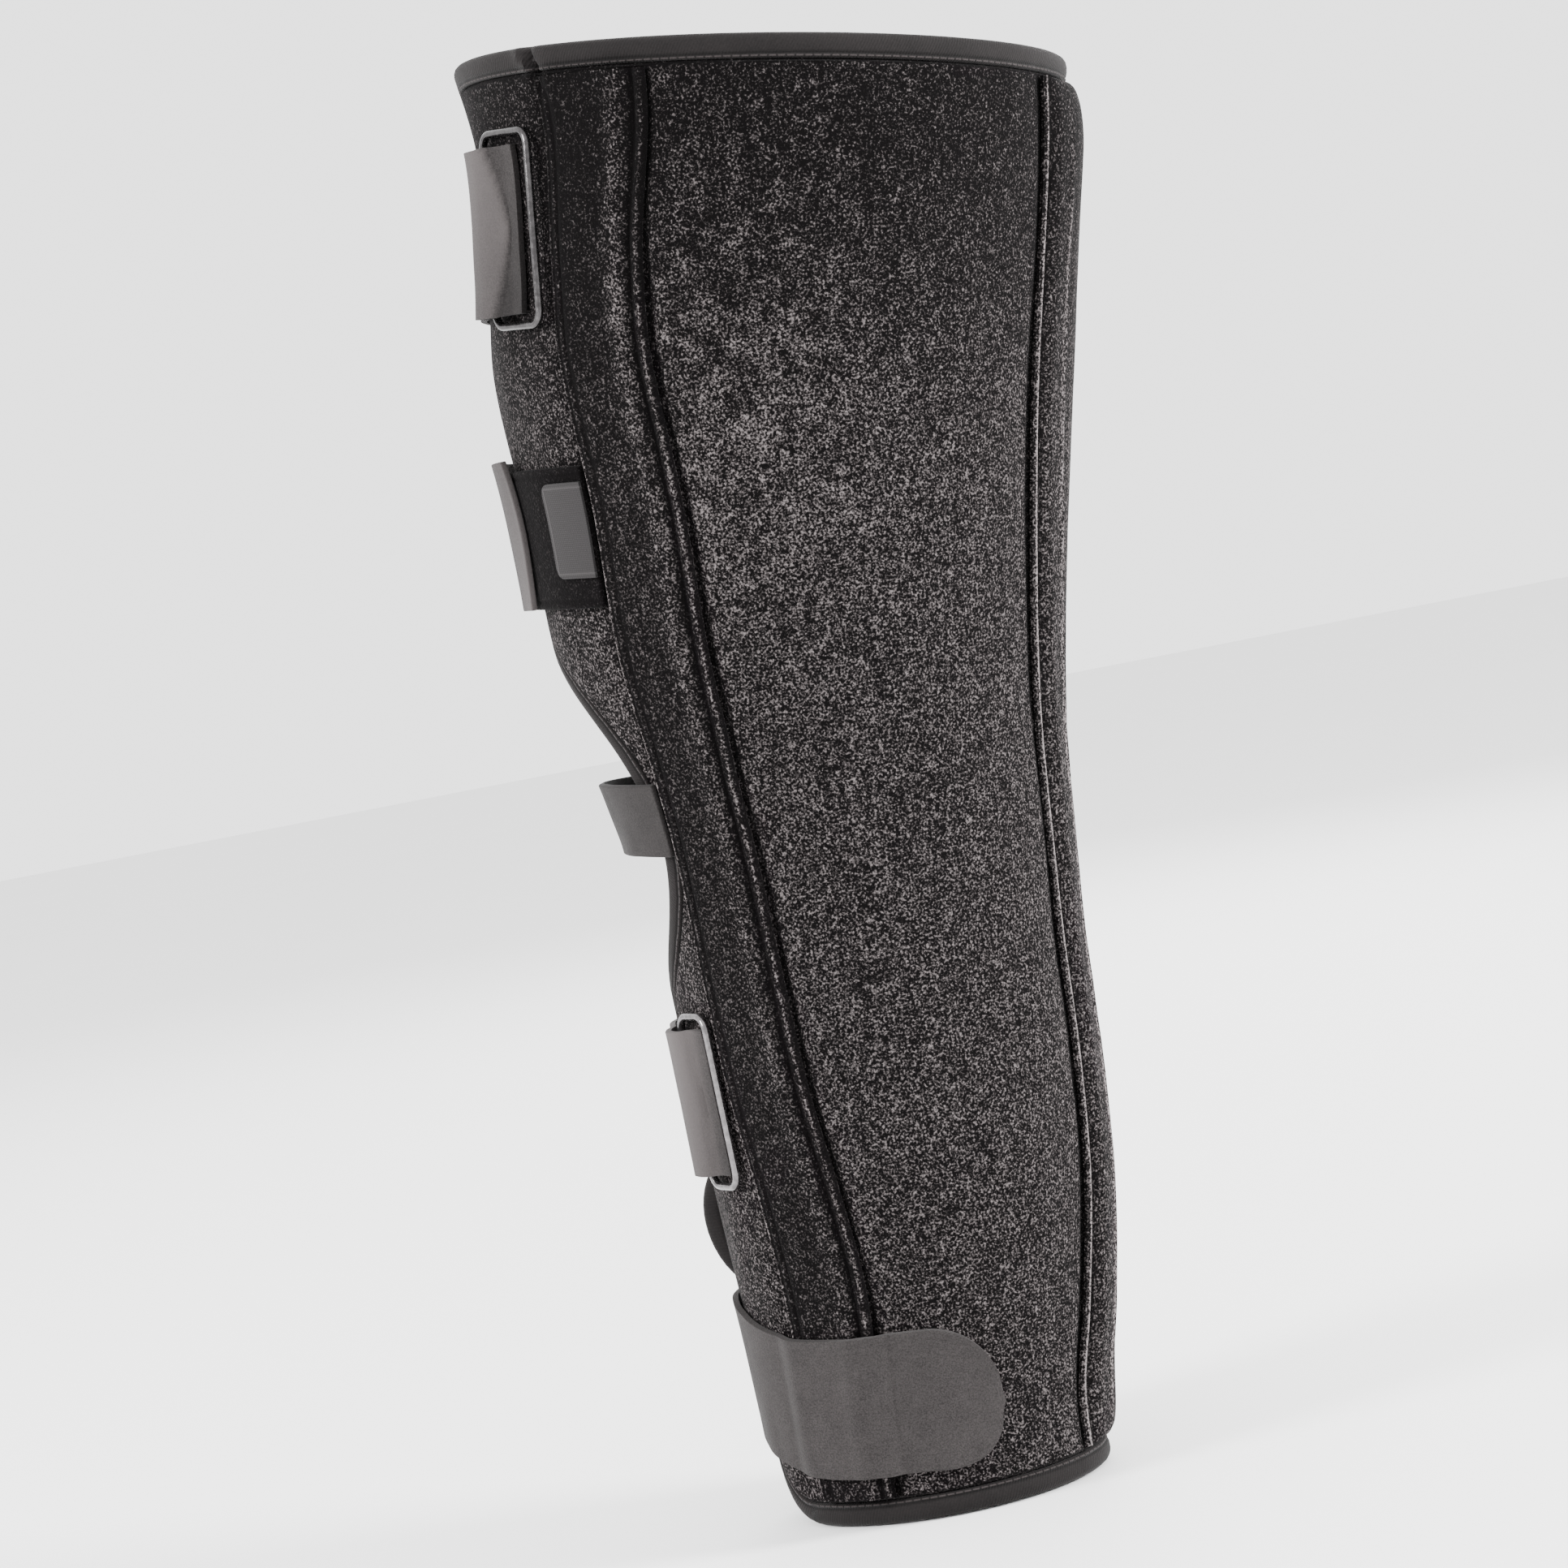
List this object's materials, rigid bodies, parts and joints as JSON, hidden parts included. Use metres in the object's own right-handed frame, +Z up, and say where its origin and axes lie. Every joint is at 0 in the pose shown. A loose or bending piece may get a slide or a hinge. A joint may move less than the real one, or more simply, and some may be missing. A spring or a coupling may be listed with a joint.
{
  "type": "knee immobilizer",
  "caption": "Long foam leg wrap with bound edges, stay bands, a kneecap opening and five straps across its open front, two of them over wire rings.",
  "frame": {"origin": "under the middle of the part's bounding box, at the flat lower edge of its bottom rim", "axes": "+Z up the leg, -X towards the kneecap, +X towards the back of the leg, -Y the side that carries the two rings"},
  "size_m": [0.2266, 0.1902, 0.5252],
  "materials": {
    "plush": "near-black brushed loop plush with pale specks",
    "tape": "smooth dark grey knitted binding tape with one topstitch",
    "webbing": "mid grey brushed strap cloth",
    "ring_wire": "dark plated wire with bright edges",
    "label_cloth": "bare grey woven tab"
  },
  "bodies": {
    "root": {"wrap_panel": "plush", "bottom_binding": "tape", "far_front_binding": "tape", "top_binding": "tape", "near_front_binding": "tape", "near_stay_band": "plush", "far_stay_band": "plush", "posterior_band": "plush", "thigh_ring": "ring_wire", "thigh_strap": "webbing", "landing_tab": "plush", "lower_thigh_strap": "webbing", "label_tab": "label_cloth", "knee_strap": "webbing", "calf_ring": "ring_wire", "calf_strap": "webbing", "ankle_strap": "webbing"}
  },
  "joints": []
}
